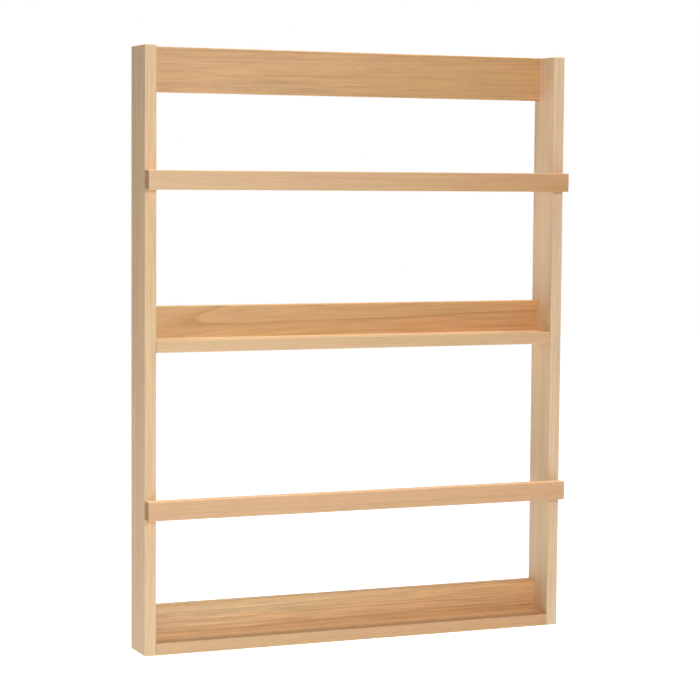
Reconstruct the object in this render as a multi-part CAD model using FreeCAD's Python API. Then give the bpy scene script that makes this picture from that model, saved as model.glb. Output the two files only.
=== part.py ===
import FreeCAD, Part
import math
import os

# Wall display shelf in solid oak, in millimetres.
# +Z is up, the wall is the plane Y = 0 and the rack stands out from it towards -Y.
# The origin is the middle of the top rail's back face, level with the two wall screws.
# Two uprights carry a top rail and two shelves, with a low back board standing on each shelf.
# Two retaining bars lie on the front edges of the uprights.
# Hidden dowels join all the wood, and two keyhole hangers in the top rail take the wall screws.

# Outer frame
frame_height = 940.0
frame_width = 720.0

# Planks of the uprights and shelves
plank_depth = 68.0
plank_thickness = 19.0

# Thinner boards at the back
rail_thickness = 18.0
rail_height = 70.0
back_board_height = 50.0

# Retaining bars at the front
bar_height = 30.0
bar_thickness = 20.0

# Heights: the shelf's underside is above the foot, each bar's middle above the shelf it serves
upper_shelf_rise = 470.0
upper_bar_rise = 246.0
lower_bar_rise = 209.0

# Rounding of every arris that a hand meets
edge_ease = 1.5

# Dowels: blind_wall is the wood left beyond the hole in the thinner of two joined pieces
board_dowel_diameter = 8.0
board_dowel_length = 30.0
board_dowel_edge_distance = 15.0
bar_dowel_diameter = 6.0
bar_dowel_length = 30.0
bar_dowel_edge_distance = 8.0
blind_wall = 7.0
dowel_chamfer = 0.8
flute_count = 12
flute_depth = 0.25
glue_clearance = 0.1
glue_end_gap = 0.5
shelf_row_count = 5
shelf_row_inset = 61.0

# Keyhole hangers: stadium plates let into the back of the top rail
hanger_spacing = 400.0
hanger_length = 50.0
hanger_width = 16.0
hanger_thickness = 2.0
hanger_clearance = 0.15
entry_diameter = 9.0
slot_width = 4.5
slot_travel = 9.0
head_pocket_margin = 1.5
head_pocket_depth = 9.0

# Countersunk screws of the hangers
screw_spacing = 38.0
screw_length = 12.0
screw_head_diameter = 6.0
screw_diameter = 3.0
screw_core_diameter = 2.1
screw_head_rim = 0.3
screw_pitch = 1.2
screw_tip_length = 2.4
screw_tip_room = 0.5
screw_plate_clearance = 0.2
screw_wood_clearance = 0.05
drive_span = 3.2
drive_width = 0.9
drive_depth = 1.1

# How far a cut runs past the face it opens
overrun = 1.0

# Places worked out from the sizes above
top_z = rail_height / 2
foot_z = top_z - frame_height
inner_x = frame_width / 2 - plank_thickness
upper_shelf_z = foot_z + upper_shelf_rise
lower_shelf_z = foot_z
shelf_levels = {"upper": upper_shelf_z, "lower": lower_shelf_z}
bar_middles = {
    "upper": upper_shelf_z + plank_thickness + upper_bar_rise,
    "lower": lower_shelf_z + plank_thickness + lower_bar_rise,
}
sides = {"left": -1, "right": 1}
screw_heights = [-screw_spacing / 2, screw_spacing / 2]

across = FreeCAD.Vector(1, 0, 0)
to_wall = FreeCAD.Vector(0, 1, 0)
up = FreeCAD.Vector(0, 0, 1)


def block(low, high):
    """A plain block between two opposite corners."""
    size = [top - bottom for bottom, top in zip(low, high)]
    return Part.makeBox(*size, FreeCAD.Vector(*low))


def ease_all(shape):
    """Rounds every arris, for a piece whose ends show."""
    return shape.makeFillet(edge_ease, shape.Edges)


def ease_long(shape, shows):
    """Rounds the arrises that run across the rack and show. Butted ends and glued arrises stay crisp."""
    boxes = [(edge, edge.BoundBox) for edge in shape.Edges]
    long_edges = [edge for edge, box in boxes if box.XLength > box.YLength + box.ZLength]
    return shape.makeFillet(edge_ease, [edge for edge in long_edges if shows(edge.CenterOfMass)])


def pair_between(low, high, inset):
    """Two places, each the same distance in from the ends of a span."""
    return [low + inset, high - inset]


def dowel(diameter, length):
    """One fluted dowel that stands on the origin, with its ends bevelled for an easy start."""
    radius = diameter / 2 - glue_clearance
    turned = Part.makeCylinder(radius, length)
    rims = [edge for edge in turned.Edges if isinstance(edge.Curve, Part.Circle)]
    turned = turned.makeChamfer(dowel_chamfer, rims)
    corners = []
    for step in range(2 * flute_count):
        reach = radius - flute_depth * (step % 2)
        turn = math.pi * step / flute_count
        corners.append(FreeCAD.Vector(reach * math.cos(turn), reach * math.sin(turn), 0))
    section = Part.Face(Part.makePolygon(corners + corners[:1]))
    return turned.common(section.extrude(up * length))


class Joint:
    """Dowels that start in a thin piece and run along one direction into a deeper one."""

    def __init__(self, points, direction, thickness, diameter, length):
        self.direction = direction
        self.diameter = diameter
        self.length = length
        self.bottoms = [point - direction * (thickness - blind_wall) for point in points]

    def dowels(self):
        """The dowels in place, one for each point of the joint face."""
        turn = FreeCAD.Rotation(up, self.direction)
        model = dowel(self.diameter, self.length)
        placed = []
        for bottom in self.bottoms:
            copy = model.copy()
            copy.Placement = FreeCAD.Placement(bottom + self.direction * glue_end_gap, turn)
            placed.append(copy)
        return Part.Compound(placed)

    def bores(self):
        """The holes they sit in. Each crosses the joint face and so opens both pieces."""
        radius = self.diameter / 2
        depth = self.length + 2 * glue_end_gap
        return [Part.makeCylinder(radius, depth, bottom, self.direction) for bottom in self.bottoms]


def board_joint(points, direction):
    """A joint of the larger dowels, from the face of a plank into another board."""
    return Joint(points, direction, plank_thickness, board_dowel_diameter, board_dowel_length)


def top_rail_joint(side):
    """From an upright into one end of the top rail."""
    heights = pair_between(top_z - rail_height, top_z, board_dowel_edge_distance)
    points = [FreeCAD.Vector(side * inner_x, -rail_thickness / 2, height) for height in heights]
    return board_joint(points, -side * across)


def shelf_joint(side, level):
    """From an upright into one end of a shelf."""
    depths = pair_between(-plank_depth, 0, board_dowel_edge_distance)
    middle = shelf_levels[level] + plank_thickness / 2
    points = [FreeCAD.Vector(side * inner_x, depth, middle) for depth in depths]
    return board_joint(points, -side * across)


def back_board_joint(side, level):
    """From an upright into one end of a back board."""
    seat_z = shelf_levels[level] + plank_thickness
    heights = pair_between(seat_z, seat_z + back_board_height, board_dowel_edge_distance)
    points = [FreeCAD.Vector(side * inner_x, -rail_thickness / 2, height) for height in heights]
    return board_joint(points, -side * across)


def shelf_row_joint(level):
    """The row of dowels that stands in a shelf and holds its back board."""
    first, last = pair_between(-inner_x, inner_x, shelf_row_inset)
    gap = (last - first) / (shelf_row_count - 1)
    seat_z = shelf_levels[level] + plank_thickness
    places = [first + gap * step for step in range(shelf_row_count)]
    return board_joint([FreeCAD.Vector(x, -rail_thickness / 2, seat_z) for x in places], up)


def bar_joint(side, level):
    """From the back of a retaining bar into the front edge of an upright."""
    middle = bar_middles[level]
    heights = pair_between(middle - bar_height / 2, middle + bar_height / 2, bar_dowel_edge_distance)
    edge_x = side * (frame_width - plank_thickness) / 2
    points = [FreeCAD.Vector(edge_x, -plank_depth, height) for height in heights]
    return Joint(points, to_wall, bar_thickness, bar_dowel_diameter, bar_dowel_length)


def all_joints():
    """Every doweled joint of the rack, by the name of its dowels."""
    joints = {}
    for side_name, side in sides.items():
        joints[f"top_rail_{side_name}_dowels"] = top_rail_joint(side)
        for level in shelf_levels:
            joints[f"{level}_shelf_{side_name}_dowels"] = shelf_joint(side, level)
            joints[f"{level}_back_board_{side_name}_dowels"] = back_board_joint(side, level)
            joints[f"{level}_front_bar_{side_name}_dowels"] = bar_joint(side, level)
    for level in shelf_levels:
        joints[f"{level}_shelf_to_back_board_dowels"] = shelf_row_joint(level)
    return joints


def upright(side):
    """One side of the rack, its full height."""
    outer_x = side * frame_width / 2
    low_x, high_x = sorted([outer_x, side * inner_x])
    return ease_all(block((low_x, -plank_depth, foot_z), (high_x, 0, top_z)))


def shelf(level):
    """A shelf as deep as the uprights. Its arris under the back board is glued shut and stays crisp."""
    base_z = shelf_levels[level]
    middle_z = base_z + plank_thickness / 2
    plank = block((-inner_x, -plank_depth, base_z), (inner_x, 0, base_z + plank_thickness))
    return ease_long(plank, lambda middle: middle.y < -plank_depth / 2 or middle.z < middle_z)


def back_board(level):
    """The low board that stands on a shelf's back edge and keeps the load off the wall."""
    base_z = shelf_levels[level] + plank_thickness
    board = block((-inner_x, -rail_thickness, base_z), (inner_x, 0, base_z + back_board_height))
    return ease_long(board, lambda middle: middle.z > base_z + back_board_height / 2)


def front_bar(level):
    """A bar across the fronts of the uprights that keeps the load from tipping off its shelf."""
    base_z = bar_middles[level] - bar_height / 2
    low = (-frame_width / 2, -plank_depth - bar_thickness, base_z)
    return ease_all(block(low, (frame_width / 2, -plank_depth, base_z + bar_height)))


def stadium(width, low_z, high_z, front_y, back_y):
    """A slot-shaped block with round ends, upright, between two depths. The z values are its end centres."""
    radius = width / 2
    depth = back_y - front_y
    ends = [Part.makeCylinder(radius, depth, FreeCAD.Vector(0, front_y, z), to_wall) for z in (low_z, high_z)]
    return block((-radius, front_y, low_z), (radius, back_y, high_z)).fuse(ends).removeSplitter()


def hanger_body(grow, front_y, back_y):
    """The outline of a hanger plate, grown all round, between two depths."""
    end_z = (hanger_length - hanger_width) / 2
    return stadium(hanger_width + 2 * grow, -end_z, end_z, front_y, back_y)


def hanger_recess():
    """What is cut from the top rail for one hanger: the plate's seat and room for a screw head behind it."""
    seat = hanger_body(hanger_clearance, -hanger_thickness, overrun)
    pocket_width = entry_diameter + 2 * head_pocket_margin
    pocket_floor = -hanger_thickness - head_pocket_depth
    return seat.fuse(stadium(pocket_width, -slot_travel, 0, pocket_floor, 0))


def top_rail():
    """The board across the top, with a recess in its back for each hanger and pilot holes for the screws."""
    board = block((-inner_x, -rail_thickness, top_z - rail_height), (inner_x, 0, top_z))
    rail = ease_long(board, lambda middle: True)
    pilot_radius = screw_diameter / 2 + screw_wood_clearance
    pilot_depth = screw_length + screw_tip_room
    cuts = []
    for side in sides.values():
        place = across * (side * hanger_spacing / 2)
        cuts.append(hanger_recess().translated(place))
        for height in screw_heights:
            start = place + FreeCAD.Vector(0, -pilot_depth, height)
            cuts.append(Part.makeCylinder(pilot_radius, pilot_depth, start, to_wall))
    return rail.cut(cuts)


def lathe(profile):
    """Turns a closed profile of (radius, depth) points about the line through the origin along Y."""
    points = [FreeCAD.Vector(radius, depth, 0) for radius, depth in profile]
    return Part.Face(Part.makePolygon(points + points[:1])).revolve(FreeCAD.Vector(0, 0, 0), to_wall, 360)


def hanger():
    """A keyhole hanger: the wall screw's head enters the round hole, then the plate drops onto its shank."""
    plate = hanger_body(0, -hanger_thickness, 0)
    front_y = -hanger_thickness - overrun
    entry = Part.makeCylinder(entry_diameter / 2, hanger_thickness + 2 * overrun,
                              FreeCAD.Vector(0, front_y, -slot_travel), to_wall)
    cuts = [entry, stadium(slot_width, -slot_travel, 0, front_y, overrun)]
    head_radius = screw_head_diameter / 2 + screw_plate_clearance
    shank_radius = screw_diameter / 2 + screw_plate_clearance
    cone_depth = head_radius - shank_radius
    countersink = lathe([(0, overrun), (head_radius, overrun), (head_radius, -screw_head_rim),
                         (shank_radius, -screw_head_rim - cone_depth), (shank_radius, front_y), (0, front_y)])
    for height in screw_heights:
        cuts.append(countersink.translated(up * height))
    return plate.cut(cuts)


def hanger_screw():
    """One countersunk wood screw with its head at the origin, pointing away from the wall."""
    head_radius = screw_head_diameter / 2
    outer = screw_diameter / 2
    core = screw_core_diameter / 2
    head_base_y = -screw_head_rim - (head_radius - outer)
    thread_start = -hanger_thickness
    thread_end = screw_tip_length - screw_length
    ridge_count = int((thread_start - thread_end) / screw_pitch)
    profile = [(0, 0), (head_radius, 0), (head_radius, -screw_head_rim)]
    profile += [(outer, head_base_y), (outer, thread_start)]
    for turn in range(ridge_count):
        ridge_y = thread_start - screw_pitch * turn
        profile.append((core, ridge_y - screw_pitch / 2))
        profile.append((outer, ridge_y - screw_pitch))
    profile += [(core, thread_end), (0, -screw_length)]
    screw = lathe(profile)
    half_span, half_width = drive_span / 2, drive_width / 2
    slot = block((-half_span, -drive_depth, -half_width), (half_span, overrun, half_width))
    cross = slot.copy()
    cross.rotate(FreeCAD.Vector(0, 0, 0), to_wall, 90)
    return screw.cut([slot, cross])


def hanger_screws():
    """The two screws of one hanger, as separate solids."""
    screw = hanger_screw()
    return Part.Compound([screw.translated(up * height) for height in screw_heights])


def wooden_pieces():
    """Every board and bar by name, before its dowel holes are bored."""
    pieces = {f"{side_name}_upright": upright(side) for side_name, side in sides.items()}
    pieces["top_rail"] = top_rail()
    for level in shelf_levels:
        pieces[f"{level}_shelf"] = shelf(level)
        pieces[f"{level}_back_board"] = back_board(level)
        pieces[f"{level}_front_bar"] = front_bar(level)
    return pieces


def build():
    """Every piece of the rack in its place, by name."""
    joints = all_joints()
    bores = [bore for joint in joints.values() for bore in joint.bores()]
    pieces = {name: piece.cut(bores) for name, piece in wooden_pieces().items()}
    pieces.update({name: joint.dowels() for name, joint in joints.items()})
    for side_name, side in sides.items():
        place = across * (side * hanger_spacing / 2)
        pieces[f"{side_name}_keyhole_hanger"] = hanger().translated(place)
        pieces[f"{side_name}_hanger_screws"] = hanger_screws().translated(place)
    return pieces


os.makedirs("parts", exist_ok=True)
for name, piece in build().items():
    piece.exportStep(f"parts/{name}.step")
    print(f"{name}: {len(piece.Solids)} solids, {piece.Volume / 1000:.1f} cm3, valid {piece.isValid()}")
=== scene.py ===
# %% [markdown]
# This scene dresses a wall display shelf: a shallow rack of pale oak that hangs on a wall, with two
# narrow shelves and a slim bar across the front of each bay. Its boards, bars, dowels, hangers and
# screws come from the frame, at their real size and in their places. A piece could be modelled
# again here, but planed boards with eased arrises are already right, so this script leaves their
# shape alone. It gives each piece its finish, and it adds the camera, the floor and the light.

# %% Load the rack
import bmesh
import bpy
import math
from mathutils import Euler, Matrix, Vector


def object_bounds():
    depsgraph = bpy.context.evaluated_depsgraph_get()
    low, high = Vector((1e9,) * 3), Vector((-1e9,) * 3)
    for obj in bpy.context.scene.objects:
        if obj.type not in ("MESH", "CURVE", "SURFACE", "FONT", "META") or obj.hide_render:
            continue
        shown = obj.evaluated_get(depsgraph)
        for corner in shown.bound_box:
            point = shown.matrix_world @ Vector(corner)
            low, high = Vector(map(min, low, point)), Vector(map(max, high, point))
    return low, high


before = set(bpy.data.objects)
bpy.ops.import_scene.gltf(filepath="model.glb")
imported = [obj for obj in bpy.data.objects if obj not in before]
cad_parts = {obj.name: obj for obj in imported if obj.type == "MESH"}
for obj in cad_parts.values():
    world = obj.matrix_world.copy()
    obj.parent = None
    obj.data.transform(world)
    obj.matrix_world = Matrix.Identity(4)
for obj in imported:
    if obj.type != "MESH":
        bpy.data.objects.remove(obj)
built_low, built_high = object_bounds()
built_size = built_high - built_low
print("pieces:", len(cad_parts))
print("size in mm:", [round(1000 * length) for length in built_size])

# %% [markdown]
# The camera stands a little above the middle of the rack and well to its left, and looks slightly
# down. Its lens, place and turn were worked out from the rack's own edges in the photograph. A
# camera could be aimed with a constraint, but three plain turns and one step back say exactly where
# it is. The lens is long, so the far upright is only a little smaller than the near one.

# %% The camera
photo_side_px = 700
focal_length_px = 2270.7
sensor_width_mm = 36.0
camera_aim = Vector((0.0104, 0.0, -0.4429))
camera_distance = 3.680
camera_turn = math.radians(23.10)
camera_drop = math.radians(4.30)
camera_roll = math.radians(0.434)
quarter_turn = math.pi / 2

camera_data = bpy.data.cameras.new("camera")
camera_data.sensor_width = sensor_width_mm
camera_data.lens = sensor_width_mm * focal_length_px / photo_side_px
camera = bpy.data.objects.new("camera", camera_data)
bpy.context.scene.collection.objects.link(camera)
bpy.context.scene.camera = camera
level_view = Matrix.Rotation(quarter_turn, 4, "X")
facing = Matrix.Rotation(-camera_turn, 4, "Z") @ level_view @ Matrix.Rotation(-camera_drop, 4, "X")
facing = facing @ Matrix.Rotation(camera_roll, 4, "Z")
step_back = Matrix.Translation((0, 0, camera_distance))
camera.matrix_world = Matrix.Translation(camera_aim) @ facing @ step_back
print("lens in mm:", round(camera_data.lens, 1))

# %% [markdown]
# Every finish below is a small network of nodes. The editor adds one node at a time and drags the
# links by hand. Here one helper adds a node, sets its options and feeds its sockets, either with a
# value or with the output of another node. A second helper does one sum on numbers. The tones are
# given as they look on a screen, from 0 to 255, and a third helper turns them into the light values
# that a shader wants. The numbers in it belong to the standard curve of screens.

# %% Helpers for nodes
def put(nodes, kind, feeds=None, **settings):
    """Adds one node, sets its options and feeds its sockets with values or with other outputs."""
    made = nodes.new(kind)
    for name, value in settings.items():
        setattr(made, name, value)
    for socket, value in (feeds or {}).items():
        if isinstance(value, bpy.types.NodeSocket):
            nodes.id_data.links.new(value, made.inputs[socket])
        else:
            made.inputs[socket].default_value = value
    return made


def calc(nodes, operation, *values):
    """One sum on numbers. Returns its result."""
    return put(nodes, "ShaderNodeMath", dict(enumerate(values)), operation=operation).outputs[0]


def light_value(shade):
    """The light value of one screen value from 0 to 255."""
    share = shade / 255
    return share / 12.92 if share <= 0.04045 else ((share + 0.055) / 1.055) ** 2.4


def tone(red, green, blue):
    """A colour for a shader, from its look on a screen."""
    return (light_value(red), light_value(green), light_value(blue), 1.0)


def new_material(name):
    """An empty material and its nodes."""
    material = bpy.data.materials.new(name)
    material.use_nodes = True
    material.node_tree.nodes.clear()
    return material, material.node_tree.nodes


print("half way up on a screen is this much light:", round(light_value(127.5), 3))

# %% [markdown]
# The rack hangs on a wall in use, so nothing stands under it. The floor is a plain pale sheet well
# below its foot, as in a studio where the object is held up for its picture. It could be a shadow
# catcher, but that needs work after the render. A real surface takes the rack's soft shadow in
# every view and throws light back up under the shelves.

# %% The floor
floor_drop = 0.45
floor_size = 24.0

floor_form = bmesh.new()
bmesh.ops.create_grid(floor_form, x_segments=1, y_segments=1, size=floor_size / 2)
bmesh.ops.translate(floor_form, vec=(0, 0, built_low.z - floor_drop), verts=floor_form.verts)
floor_mesh = bpy.data.meshes.new("floor")
floor_form.to_mesh(floor_mesh)
floor_form.free()
floor = bpy.data.objects.new("floor", floor_mesh)
bpy.context.scene.collection.objects.link(floor)
print("floor is", floor_drop, "m under the foot")

# %% [markdown]
# The sheet alone would look grey, and a stronger lamp would burn out the pale wood long before the
# floor is white. So the camera and the reflections also see the floor glow, which puts no light on
# the rack. The glow is weaker right under the rack, or it would drown the shadow there.

# %% The floor's paint
white = (1, 1, 1, 1)
floor_tone = tone(232, 231, 229)
floor_glow_near = 0.14
floor_glow_far = 0.90
glow_grows_from = 0.5
glow_grows_to = 1.3
only_level = (1, 1, 0)


def multiplied(nodes, vector, factors):
    """Multiplies the three numbers of a vector by three factors."""
    return put(nodes, "ShaderNodeVectorMath", {0: vector, 1: factors}, operation="MULTIPLY").outputs[0]


def length_of(nodes, vector):
    """How long a vector is."""
    return put(nodes, "ShaderNodeVectorMath", {0: vector}, operation="LENGTH").outputs["Value"]


def smooth_step(nodes, value, low, high, before=0.0, after=1.0):
    """One number while a value is below low and another above high, with a soft change between."""
    feeds = {"Value": value, "From Min": low, "From Max": high, "To Min": before, "To Max": after}
    return put(nodes, "ShaderNodeMapRange", feeds, interpolation_type="SMOOTHSTEP").outputs[0]


def seen_directly(nodes):
    """1 for a ray from the camera, off something glossy or through glass, and 0 for any other."""
    ray = put(nodes, "ShaderNodeLightPath").outputs
    seen = calc(nodes, "MAXIMUM", ray["Is Camera Ray"], ray["Is Glossy Ray"])
    return calc(nodes, "MAXIMUM", seen, ray["Is Transmission Ray"])


floor_paint, nodes = new_material("floor_paint")
spot = put(nodes, "ShaderNodeTexCoord").outputs["Object"]
reach = length_of(nodes, multiplied(nodes, spot, only_level))
glow_strength = smooth_step(nodes, reach, glow_grows_from, glow_grows_to, floor_glow_near, floor_glow_far)
glow_feeds = {"Color": white, "Strength": calc(nodes, "MULTIPLY", seen_directly(nodes), glow_strength)}
glow = put(nodes, "ShaderNodeEmission", glow_feeds)
paint = put(nodes, "ShaderNodeBsdfDiffuse", {"Color": floor_tone})
glowing_paint = put(nodes, "ShaderNodeAddShader", {0: paint.outputs[0], 1: glow.outputs[0]})
put(nodes, "ShaderNodeOutputMaterial", {"Surface": glowing_paint.outputs[0]})
floor_mesh.materials.append(floor_paint)
print("floor glow:", floor_glow_near, "to", floor_glow_far)

# %% [markdown]
# The world is the studio's backdrop and its softest light at once. A white sheet could stand behind
# the rack, but it would be in the way of the views from the back. The camera and the reflections in
# the steel and the satin wood see plain white. All other rays see a weaker, even light, which fills
# the shadows between the boards without washing out their colour.

# %% The backdrop and its soft light
surround_strength = 0.15
backdrop_strength = 1.0

world = bpy.data.worlds.new("studio")
world.use_nodes = True
nodes = world.node_tree.nodes
nodes.clear()
surround = put(nodes, "ShaderNodeBackground", {"Color": white, "Strength": surround_strength})
backdrop = put(nodes, "ShaderNodeBackground", {"Color": white, "Strength": backdrop_strength})
choice_feeds = {0: seen_directly(nodes), 1: surround.outputs[0], 2: backdrop.outputs[0]}
choice = put(nodes, "ShaderNodeMixShader", choice_feeds)
put(nodes, "ShaderNodeOutputWorld", {"Surface": choice.outputs[0]})
bpy.context.scene.world = world
bpy.context.scene.view_settings.view_transform = "Standard"
print("surround strength:", surround_strength)

# %% [markdown]
# Softboxes do the rest. Sun lamps would be simpler, but their shadows have hard edges. A large
# softbox hangs high above, almost straight over the rack, and lights the tops of the shelves. It
# only grazes the fronts, which a small one far in front lights evenly, from a little above. So each
# bar throws just a short shadow on the uprights, as in the photograph. A slim weak one stands close
# in front, left of the middle, and makes the fronts fall off a little to the right.
#
# One stands behind the rack, for its back. It also shines through the open bays onto the inner face
# of the right upright. Where a board closes the bay, that face is in shadow and takes up the board's
# warm colour. One stands low on the left, for the outer face of the left upright, which is brightest
# at its foot. The last one is behind on the right, on the sides that the photograph doesn't show.
# The two behind are kept out of reflections, or they would burn the steel hangers out to white.

# %% The softboxes
rack_middle = (0, 0, -0.45)
right_of_middle = (0.1, 0, -0.45)


def softbox(name, place, aim, size, watts, reflected=True):
    """A flat rectangular lamp that shines from its place to its aim. Steel can reflect it."""
    data = bpy.data.lights.new(name, "AREA")
    data.shape = "RECTANGLE"
    data.size, data.size_y = size
    data.energy = watts
    lamp = bpy.data.objects.new(name, data)
    lamp.location = place
    lamp.visible_camera = False
    lamp.visible_glossy = reflected
    lamp.rotation_mode = "QUATERNION"
    lamp.rotation_quaternion = (Vector(aim) - Vector(place)).to_track_quat("-Z", "Y")
    bpy.context.scene.collection.objects.link(lamp)


softbox("top_softbox", place=(0, -0.35, 5.0), aim=(0, 0, -0.4), size=(3.0, 1.2), watts=370)
softbox("front_softbox", place=(0, -3.5, 0.65), aim=rack_middle, size=(0.5, 0.5), watts=42)
softbox("near_softbox", place=(-0.22, -0.95, -0.25), aim=right_of_middle, size=(0.3, 1.6), watts=1.3)
softbox("back_softbox", place=(-0.05, 1.9, -0.45), aim=right_of_middle, size=(0.6, 1.6), watts=20,
        reflected=False)
softbox("low_left_softbox", place=(-1.25, -0.5, -1.2), aim=(-0.36, 0, -0.85), size=(0.8, 0.4), watts=2.7)
softbox("back_right_softbox", place=(1.5, 1.4, -0.3), aim=right_of_middle, size=(0.8, 1.2), watts=9,
        reflected=False)

# %% [markdown]
# Oak gets its look from how the tree grew, so the pattern is made in the solid and not painted on
# each face. The tree is a set of growth rings around its pith, and every board is a cut from
# somewhere in it. Whichever way the board was cut, its faces, edges and end grain then agree with
# each other: straight lines where the rings stand on edge, pointed arches where they lie flat, and
# short arcs on the end. An image texture could not do that round an arris.
#
# One node group holds the tree. It reads a place in the log, where X runs along the grain and the
# pith is the line Y = Z = 0. It also reads a number for the tree, so that no two are alike, and the
# usual width of its rings.

# %% The log
tree = bpy.data.node_groups.new("oak_log", "ShaderNodeTree")
tree.interface.new_socket("Place", in_out="INPUT", socket_type="NodeSocketVector")
tree.interface.new_socket("Tree", in_out="INPUT", socket_type="NodeSocketFloat")
tree.interface.new_socket("Ring Width", in_out="INPUT", socket_type="NodeSocketFloat")
log_values = ("Early", "Fibre", "Pore", "Fleck", "Drift", "Hue")
for value_name in log_values:
    tree.interface.new_socket(value_name, in_out="OUTPUT", socket_type="NodeSocketFloat")
nodes = tree.nodes
place, tree_number, ring_width = put(nodes, "NodeGroupInput").outputs[:3]
print("the log gives:", ", ".join(log_values))

# %% [markdown]
# Rings are round, but no tree is a perfect cylinder. The distance from the pith gives circles, and
# two noises push them in and out: a slow one by up to 8 mm, as the trunk swells and bends, and a
# quick one by about 1 mm. A Wave texture has rings too, but they can't be told apart by year.

# %% The distance from the pith
ring_wander = 0.016
ring_ripple = 0.0022
only_across = (0, 1, 1)


def noise(nodes, place, scale=1.0, detail=2.0):
    """A soft cloudy value, mostly near 0.5."""
    return put(nodes, "ShaderNodeTexNoise", {"Vector": place, "Scale": scale, "Detail": detail}).outputs[0]


def cloud(nodes, place, along, across, detail=2.0):
    """A noise with its blots 1/along metres long down the grain and 1/across metres wide."""
    return noise(nodes, multiplied(nodes, place, (along, across, across)), detail=detail)


def centred(nodes, value, reach):
    """Turns a cloudy value into a push both ways, by at most about half the reach."""
    return calc(nodes, "MULTIPLY", calc(nodes, "SUBTRACT", value, 0.5), reach)


radius = length_of(nodes, multiplied(nodes, place, only_across))
wander = cloud(nodes, place, along=1.4, across=7.0)
radius = calc(nodes, "ADD", radius, centred(nodes, wander, ring_wander))
ripple = cloud(nodes, place, along=9.0, across=50.0)
radius = calc(nodes, "ADD", radius, centred(nodes, ripple, ring_ripple))
print("nodes for the distance:", len(nodes))

# %% [markdown]
# The first of the log's values is early wood, the darker and more open part of each year's ring. The
# distance divided by the ring width counts the years. Its fraction is the season, and a ramp turns
# that into a dark line that rises fast in spring and fades towards autumn. Good and bad years
# follow each other, so the rings are uneven, and each one gets its own force from its number.

# %% The early wood
year_unevenness = 2.2
year_pace = 0.31
year_contrast = 1.6
season_forces = ((0.16, 1.0), (0.42, 0.45), (0.70, 0.12), (0.92, 0.0))

years = calc(nodes, "DIVIDE", radius, ring_width)
lean_feeds = {"W": calc(nodes, "ADD", years, tree_number), "Scale": year_pace, "Detail": 1.0}
lean = put(nodes, "ShaderNodeTexNoise", lean_feeds, noise_dimensions="1D").outputs[0]
years = calc(nodes, "ADD", years, calc(nodes, "MULTIPLY", lean, year_unevenness))
season = calc(nodes, "FRACT", years)
year_number = calc(nodes, "ADD", calc(nodes, "FLOOR", years), tree_number)
year_mark = put(nodes, "ShaderNodeTexWhiteNoise", {"W": year_number}, noise_dimensions="1D").outputs["Value"]
year_force = calc(nodes, "POWER", year_mark, year_contrast)

ramp = put(nodes, "ShaderNodeValToRGB", {"Fac": season})
ramp.color_ramp.interpolation = "EASE"
ramp.color_ramp.elements[1].color = (0, 0, 0, 1)
for share, force in season_forces:
    stop = ramp.color_ramp.elements.new(share)
    stop.color = (force, force, force, 1)
early = calc(nodes, "MULTIPLY", ramp.outputs["Color"], year_force)
print("stops on the season's ramp:", len(ramp.color_ramp.elements))

# %% [markdown]
# Fibres are faint streaks along the grain. Pores are short dark dashes, a third of a millimetre
# wide, and most of them lie in the early wood. Each dash could be a mark of its own, but a noise
# that is squeezed to the mark's real size and cut off at a level gives thousands of them at once.

# %% The fibres and pores
coarse_fibre_share = 0.7
fine_fibre_share = 0.3
pores_begin = 0.61
pores_full = 0.74
pores_everywhere = 0.2
pores_from_early_wood = 0.8

coarse_fibre = cloud(nodes, place, along=10.0, across=260.0, detail=3.0)
fine_fibre = cloud(nodes, place, along=26.0, across=1200.0)
coarse_fibre = calc(nodes, "MULTIPLY", coarse_fibre, coarse_fibre_share)
fibre = calc(nodes, "ADD", coarse_fibre, calc(nodes, "MULTIPLY", fine_fibre, fine_fibre_share))

dashes = cloud(nodes, place, along=120.0, across=2600.0, detail=0.0)
dashes = smooth_step(nodes, dashes, pores_begin, pores_full)
crowding = calc(nodes, "MULTIPLY", early, pores_from_early_wood)
crowding = calc(nodes, "ADD", crowding, pores_everywhere)
pore = calc(nodes, "MULTIPLY", dashes, crowding)
print("nodes with fibres and pores:", len(nodes))

# %% [markdown]
# Flecks are the rays of the wood, thin pale sheets that run out from the pith like spokes. They are
# laid out by angle around it, because a noise on the plain place would not follow the spokes. Drift
# is a slow change from light to dark, and hue is one from pink to straw.

# %% The flecks and slow changes
rays_per_radian = 240
ray_along = 42.0
ray_out = 28.0
flecks_begin = 0.60
flecks_full = 0.72
straw_begins = 0.34
straw_full = 0.66

spot = put(nodes, "ShaderNodeSeparateXYZ", {0: place})
turn = calc(nodes, "ARCTAN2", spot.outputs["Z"], spot.outputs["Y"])
spoke_feeds = {"X": calc(nodes, "MULTIPLY", spot.outputs["X"], ray_along),
               "Y": calc(nodes, "MULTIPLY", turn, rays_per_radian),
               "Z": calc(nodes, "MULTIPLY", radius, ray_out)}
spoke = put(nodes, "ShaderNodeCombineXYZ", spoke_feeds).outputs[0]
fleck = smooth_step(nodes, noise(nodes, spoke, detail=1.0), flecks_begin, flecks_full)

drift = cloud(nodes, place, along=1.8, across=30.0)
hue = smooth_step(nodes, cloud(nodes, place, along=3.1, across=44.0), straw_begins, straw_full)
put(nodes, "NodeGroupOutput", {"Early": early, "Fibre": fibre, "Pore": pore, "Fleck": fleck,
                               "Drift": drift, "Hue": hue})
print("nodes in the whole log:", len(nodes))

# %% [markdown]
# Each board needs its own cut from the log, or the same arch would show on every piece. A Mapping
# node turns the board's length onto the grain and moves it to its place beside the pith. A small
# tilt makes the rings run out of the face, which is what draws pointed arches. Few trees are dead
# straight, so a board can also have a crook: from some place on, its grain bends back and up more
# and more towards the left end.

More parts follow.
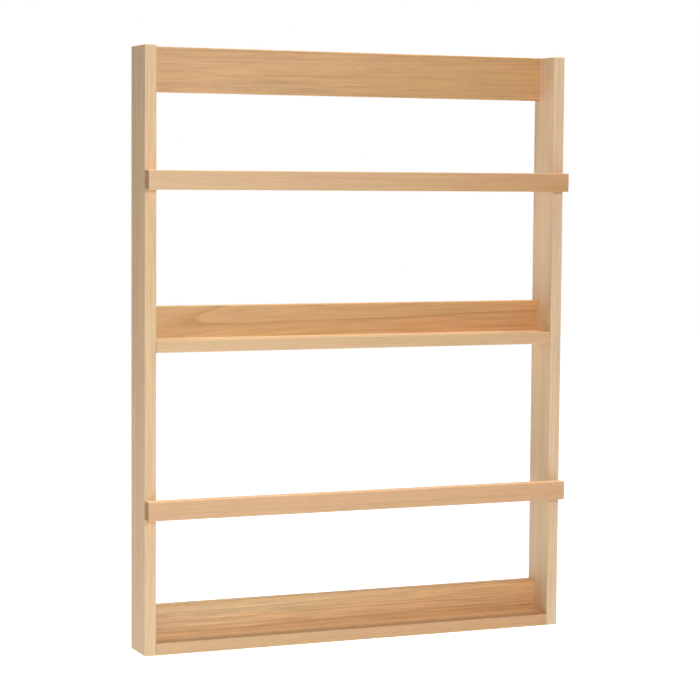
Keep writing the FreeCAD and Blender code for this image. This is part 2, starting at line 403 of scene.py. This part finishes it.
# %% A board's cut from the log
def scaled(nodes, vector, factor):
    """Multiplies a vector or a colour by one factor."""
    return put(nodes, "ShaderNodeVectorMath", {0: vector, "Scale": factor}, operation="SCALE").outputs[0]


def bent(nodes, place, start, back, up):
    """Bends the grain left of a start on X. Back and up say how strongly, in 1/m."""
    length = put(nodes, "ShaderNodeSeparateXYZ", {0: place}).outputs["X"]
    past = calc(nodes, "MAXIMUM", calc(nodes, "SUBTRACT", start, length), 0)
    push = scaled(nodes, (0, -back, -up), calc(nodes, "MULTIPLY", past, past))
    return put(nodes, "ShaderNodeVectorMath", {0: place, 1: push}, operation="ADD").outputs[0]


def cut_from_log(nodes, place, along, pith, tilt, tree_number, ring_width, crook):
    """The log's values where a board was sawn. The pith is a point on its line, in the rack's place."""
    if crook:
        place = bent(nodes, place, *crook)
    upright_turn = quarter_turn if along == "Z" else 0.0
    turn = Euler((0, upright_turn + math.radians(tilt[0]), math.radians(tilt[1])))
    shift = Vector((tree_number, 0, 0)) - turn.to_matrix() @ Vector(pith)
    log_place = put(nodes, "ShaderNodeMapping", {"Vector": place, "Location": shift, "Rotation": turn})
    feeds = {"Place": log_place.outputs[0], "Tree": tree_number, "Ring Width": ring_width}
    return put(nodes, "ShaderNodeGroup", feeds, node_tree=tree)

# %% [markdown]
# No board has one colour. Each drifts from one tone at its left or top end to another at its right
# end or foot. That tone is then streaked by the fibres, turned a little to straw, darkened along
# the early wood and in the pores, and lightened on the flecks. All of these multiply the tone, so
# they keep its warmth, where mixing in grey would kill it. End grain drinks more oil than a face,
# so it is darker wherever the surface looks along the grain.

# %% The colour of a board
early_tint = (0.83, 0.75, 0.64, 1.0)
straw_tint = (0.97, 1.0, 0.925, 1.0)
pore_tint = (0.50, 0.42, 0.34, 1.0)
fleck_tint = (1.10, 1.08, 1.02, 1.0)
end_tint = (0.75, 0.66, 0.56, 1.0)
fleck_force = 0.6
pore_force = 0.5
tone_drift = 0.8
drift_to_streaks = 0.6


def mixed(nodes, amount, base, layer, **settings):
    """Mixes a layer into a base colour. Several sockets of the node share a name, so numbers pick them."""
    feeds = {0: amount, 6: base, 7: layer}
    return put(nodes, "ShaderNodeMix", feeds, data_type="RGBA", **settings).outputs[2]


def tinted(nodes, colour, tint, amount):
    """Multiplies a colour by a tint, by an amount from 0 to 1."""
    return mixed(nodes, amount, colour, tint, blend_type="MULTIPLY")


def board_tone(nodes, place, along, tones, drift):
    """The plain tone of a board, which changes from one end to the other."""
    ends = {"X": (built_low.x, built_high.x), "Z": (built_high.z, built_low.z)}[along]
    length = put(nodes, "ShaderNodeSeparateXYZ", {0: place}).outputs[along]
    feeds = {"Value": length, "From Min": ends[0], "From Max": ends[1]}
    share = put(nodes, "ShaderNodeMapRange", feeds).outputs[0]
    share = calc(nodes, "ADD", share, centred(nodes, drift, tone_drift))
    return mixed(nodes, share, *tones)


def board_colour(nodes, plain, log, end, figure, streaks):
    """Adds the marks of the wood to a board's plain tone."""
    lighter = calc(nodes, "ADD", centred(nodes, log["Fibre"], streaks), 1.0)
    lighter = calc(nodes, "ADD", lighter, centred(nodes, log["Drift"], drift_to_streaks * streaks))
    colour = tinted(nodes, scaled(nodes, plain, lighter), straw_tint, log["Hue"])
    colour = tinted(nodes, colour, early_tint, calc(nodes, "MULTIPLY", log["Early"], figure))
    colour = tinted(nodes, colour, fleck_tint, calc(nodes, "MULTIPLY", log["Fleck"], fleck_force))
    colour = tinted(nodes, colour, pore_tint, calc(nodes, "MULTIPLY", log["Pore"], pore_force))
    return tinted(nodes, colour, end_tint, end)

# %% [markdown]
# The rack is oiled and not varnished, so its shine is weak and broad. The pores are shallow pits:
# they are a little duller than the wood between them, and a bump gives them their depth in close
# views. Carving them would cost millions of faces for the same look.

# %% The oak finish
oak_roughness = 0.60
oak_shine = 0.30
usual_ring = 0.0031
end_grain_begins = 0.55
end_grain_full = 0.95
pit_dullness = 0.2
fibre_dullness = 0.15
fibre_height = 0.5
grain_depth = 0.00025
grain_relief = 0.5


def oak(name, tones, pith, tree_number, figure, streaks, along="X", tilt=(0, 0), ring_width=usual_ring,
        crook=None):
    """Oak for one board. Tilt is in degrees, and figure is how strongly the rings show."""
    material, nodes = new_material(name)
    where = put(nodes, "ShaderNodeTexCoord").outputs
    log = cut_from_log(nodes, where["Object"], along, pith, tilt, tree_number, ring_width, crook).outputs
    facing = put(nodes, "ShaderNodeSeparateXYZ", {0: where["Normal"]}).outputs[along]
    end = smooth_step(nodes, calc(nodes, "ABSOLUTE", facing), end_grain_begins, end_grain_full)
    plain = board_tone(nodes, where["Object"], along, tones, log["Drift"])
    duller = calc(nodes, "MULTIPLY", calc(nodes, "ADD", log["Pore"], end), pit_dullness)
    duller = calc(nodes, "ADD", duller, centred(nodes, log["Fibre"], fibre_dullness))
    height = calc(nodes, "SUBTRACT", calc(nodes, "MULTIPLY", log["Fibre"], fibre_height), log["Pore"])
    relief_feeds = {"Height": height, "Distance": grain_depth, "Strength": grain_relief}
    relief = put(nodes, "ShaderNodeBump", relief_feeds)
    surface = put(nodes, "ShaderNodeBsdfPrincipled", {
        "Base Color": board_colour(nodes, plain, log, end, figure, streaks),
        "Roughness": calc(nodes, "ADD", duller, oak_roughness),
        "Specular IOR Level": oak_shine, "Normal": relief.outputs[0]})
    put(nodes, "ShaderNodeOutputMaterial", {"Surface": surface.outputs[0]})
    return material


def dress(material, *node_names):
    """Gives a finish to whole pieces of the rack."""
    for node_name in node_names:
        for material_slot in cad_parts[node_name].material_slots:
            material_slot.material = material
    print(material.name, "on", ", ".join(node_names))

# %% [markdown]
# The two uprights are pale planks with a quiet grain. The left one's front is the brightest wood in
# the photograph. The right one is a shade deeper and gets lighter towards its foot. One finish
# could serve both, but the same marks would then show twice, so each has its own tree.

# %% The uprights
left_top_oak = tone(231, 195, 158)
left_foot_oak = tone(229, 197, 161)
dress(oak("oak_left_upright", (left_top_oak, left_foot_oak), along="Z", pith=(-0.30, 0.05, 0),
          tilt=(0.4, 0.3), tree_number=23.7, figure=0.4, streaks=0.5), "left_upright")
right_top_oak = tone(226, 194, 161)
right_foot_oak = tone(229, 200, 168)
dress(oak("oak_right_upright", (right_top_oak, right_foot_oak), along="Z", pith=(0.28, 0.09, 0),
          tilt=(-0.3, 0.5), tree_number=44.9, figure=0.4, streaks=0.28), "right_upright")

# %% [markdown]
# The top rail was sawn with its rings on edge, so its face shows fine straight lines. That is a
# matter of where the pith is: well above the board, so that the rings cross its face level. It goes
# from a pinkish tan on the left to a browner one on the right.

# %% The top rail
rail_left_oak = tone(218, 175, 134)
rail_right_oak = tone(198, 152, 104)
dress(oak("oak_top_rail", (rail_left_oak, rail_right_oak), pith=(0, 0.03, 0.16), tilt=(0.5, 0.2),
          tree_number=12.4, figure=0.7, streaks=0.7), "top_rail")

# %% [markdown]
# The shelves are close to the uprights in colour, and their fronts are plain. A finish with no log
# would be too dead on their broad tops, so they get cuts of their own, with the figure and the
# streaks kept low.

# %% The shelves
upper_shelf_left_oak = tone(227, 191, 153)
upper_shelf_right_oak = tone(213, 175, 136)
dress(oak("oak_upper_shelf", (upper_shelf_left_oak, upper_shelf_right_oak), pith=(0, 0.02, -0.29),
          tilt=(0.4, 0.3), tree_number=18.2, figure=0.3, streaks=0.22), "upper_shelf")
lower_shelf_left_oak = tone(214, 178, 138)
lower_shelf_right_oak = tone(211, 165, 124)
dress(oak("oak_lower_shelf", (lower_shelf_left_oak, lower_shelf_right_oak), pith=(0, -0.11, -0.98),
          tilt=(0.3, 0.4), tree_number=23.9, figure=0.3, streaks=0.25), "lower_shelf")

# %% [markdown]
# The back boards are the warmest wood. The upper one was sawn beside the pith and a little out of
# line with it, so the rings run out of its face in an arch near its left end. The crook makes that
# arch climb to the right before the lines settle level. The lower one was sawn on edge, from a tree
# that grew fast.

# %% The back boards
upper_back_left_oak = tone(216, 179, 135)
upper_back_right_oak = tone(206, 154, 104)
dress(oak("oak_upper_back_board", (upper_back_left_oak, upper_back_right_oak), pith=(0, 0.0194, -0.3656),
          tree_number=48.26, ring_width=0.0035, figure=0.95, streaks=0.6, crook=(0.04, 0.055, -0.21)),
      "upper_back_board")
# The lower board's left tone is the wood's own, made a little darker as painted shade of the left upright on
# that end.
lower_back_left_oak_and_shade = tone(242, 206, 163)
lower_back_right_oak = tone(220, 172, 125)
dress(oak("oak_lower_back_board", (lower_back_left_oak_and_shade, lower_back_right_oak), pith=(0, 0.05, -0.70),
          tilt=(0.4, -0.1), tree_number=55.81, ring_width=0.0054, figure=1.0, streaks=0.95),
      "lower_back_board")

# %% [markdown]
# The two bars are nearly plain. They could be offcuts of the shelves, but the upper one turns darker
# and browner to the right, so each has a tree of its own. Both were sawn a hand's width from the
# pith, where the rings are almost straight across so small a piece.

# %% The front bars
upper_bar_left_oak = tone(223, 187, 151)
upper_bar_right_oak = tone(199, 153, 109)
dress(oak("oak_upper_front_bar", (upper_bar_left_oak, upper_bar_right_oak), pith=(0, -0.04, -0.06),
          tilt=(0.3, 0.3), tree_number=44.8, figure=0.4, streaks=0.38), "upper_front_bar")
lower_bar_left_oak = tone(219, 178, 139)
lower_bar_right_oak = tone(216, 171, 133)
dress(oak("oak_lower_front_bar", (lower_bar_left_oak, lower_bar_right_oak), pith=(0, 0, -0.60),
          tilt=(0.3, 0.2), tree_number=51.5, figure=0.3, streaks=0.3), "lower_front_bar")

# %% [markdown]
# The dowels are turned from beech and stay out of sight in their holes. Beech is even and
# pinkish, with many small brown specks, so one noise for its tone and one pattern of cells for the
# specks are enough. A second log would be wasted on them.

# %% The beech dowels
beech_tone = tone(226, 190, 152)
beech_roughness = 0.6
beech_clouds_per_m = 90.0
beech_clouding = 0.2
specks_per_m = 1400.0
speck_shape = {"From Min": 0.10, "From Max": 0.22, "To Min": 0.75, "To Max": 1.0}

beech, nodes = new_material("beech")
where = put(nodes, "ShaderNodeTexCoord").outputs["Object"]
cells = put(nodes, "ShaderNodeTexVoronoi", {"Vector": where, "Scale": specks_per_m}).outputs["Distance"]
speck = put(nodes, "ShaderNodeMapRange", {"Value": cells, **speck_shape}).outputs[0]
shade = centred(nodes, noise(nodes, where, beech_clouds_per_m, detail=3.0), beech_clouding)
lighter = calc(nodes, "MULTIPLY", calc(nodes, "ADD", shade, 1.0), speck)
beech_colour = scaled(nodes, beech_tone[:3], lighter)
beech_feeds = {"Base Color": beech_colour, "Roughness": beech_roughness}
surface = put(nodes, "ShaderNodeBsdfPrincipled", beech_feeds)
put(nodes, "ShaderNodeOutputMaterial", {"Surface": surface.outputs[0]})
dress(beech, *[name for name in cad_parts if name.endswith("_dowels")])

# %% [markdown]
# The hangers are stamped from zinc-plated sheet and the screws are plated too. Plating is a
# bright grey with soft cloudy spangles, and the sheet keeps fine rolling lines along its length.
# The lines could be cut into the mesh, but they are finer than a hair, so a bump is enough.

# %% The plated steel
sheet_tone = tone(198, 200, 203)
screw_tone = tone(205, 204, 198)
rolled_lines_per_m = (9000.0, 9000.0, 160.0)
plain_grains_per_m = (3000.0, 3000.0, 3000.0)
spangles_per_m = 420.0
spangle_contrast = 0.24
line_contrast = 0.10
line_depth = 0.00004
line_relief = 0.6
steel_roughness = 0.36
spangle_roughness = 0.25


def plated_steel(name, plate_tone, lines_per_m):
    """Zinc-plated steel. Rolled sheet has fine lines along Z."""
    material, nodes = new_material(name)
    where = put(nodes, "ShaderNodeTexCoord").outputs["Object"]
    spangle = noise(nodes, where, spangles_per_m, detail=3.0)
    lines = noise(nodes, multiplied(nodes, where, lines_per_m))
    lighter = centred(nodes, spangle, spangle_contrast)
    lighter = calc(nodes, "ADD", lighter, centred(nodes, lines, line_contrast))
    colour = scaled(nodes, plate_tone[:3], calc(nodes, "ADD", lighter, 1.0))
    relief = put(nodes, "ShaderNodeBump", {"Height": lines, "Distance": line_depth, "Strength": line_relief})
    surface = put(nodes, "ShaderNodeBsdfPrincipled", {
        "Base Color": colour, "Metallic": 1.0, "Normal": relief.outputs[0],
        "Roughness": calc(nodes, "ADD", centred(nodes, spangle, spangle_roughness), steel_roughness)})
    put(nodes, "ShaderNodeOutputMaterial", {"Surface": surface.outputs[0]})
    return material


plated_sheet = plated_steel("plated_sheet", sheet_tone, rolled_lines_per_m)
dress(plated_sheet, "left_keyhole_hanger", "right_keyhole_hanger")
plated_screw = plated_steel("plated_screw", screw_tone, plain_grains_per_m)
dress(plated_screw, "left_hanger_screws", "right_hanger_screws")
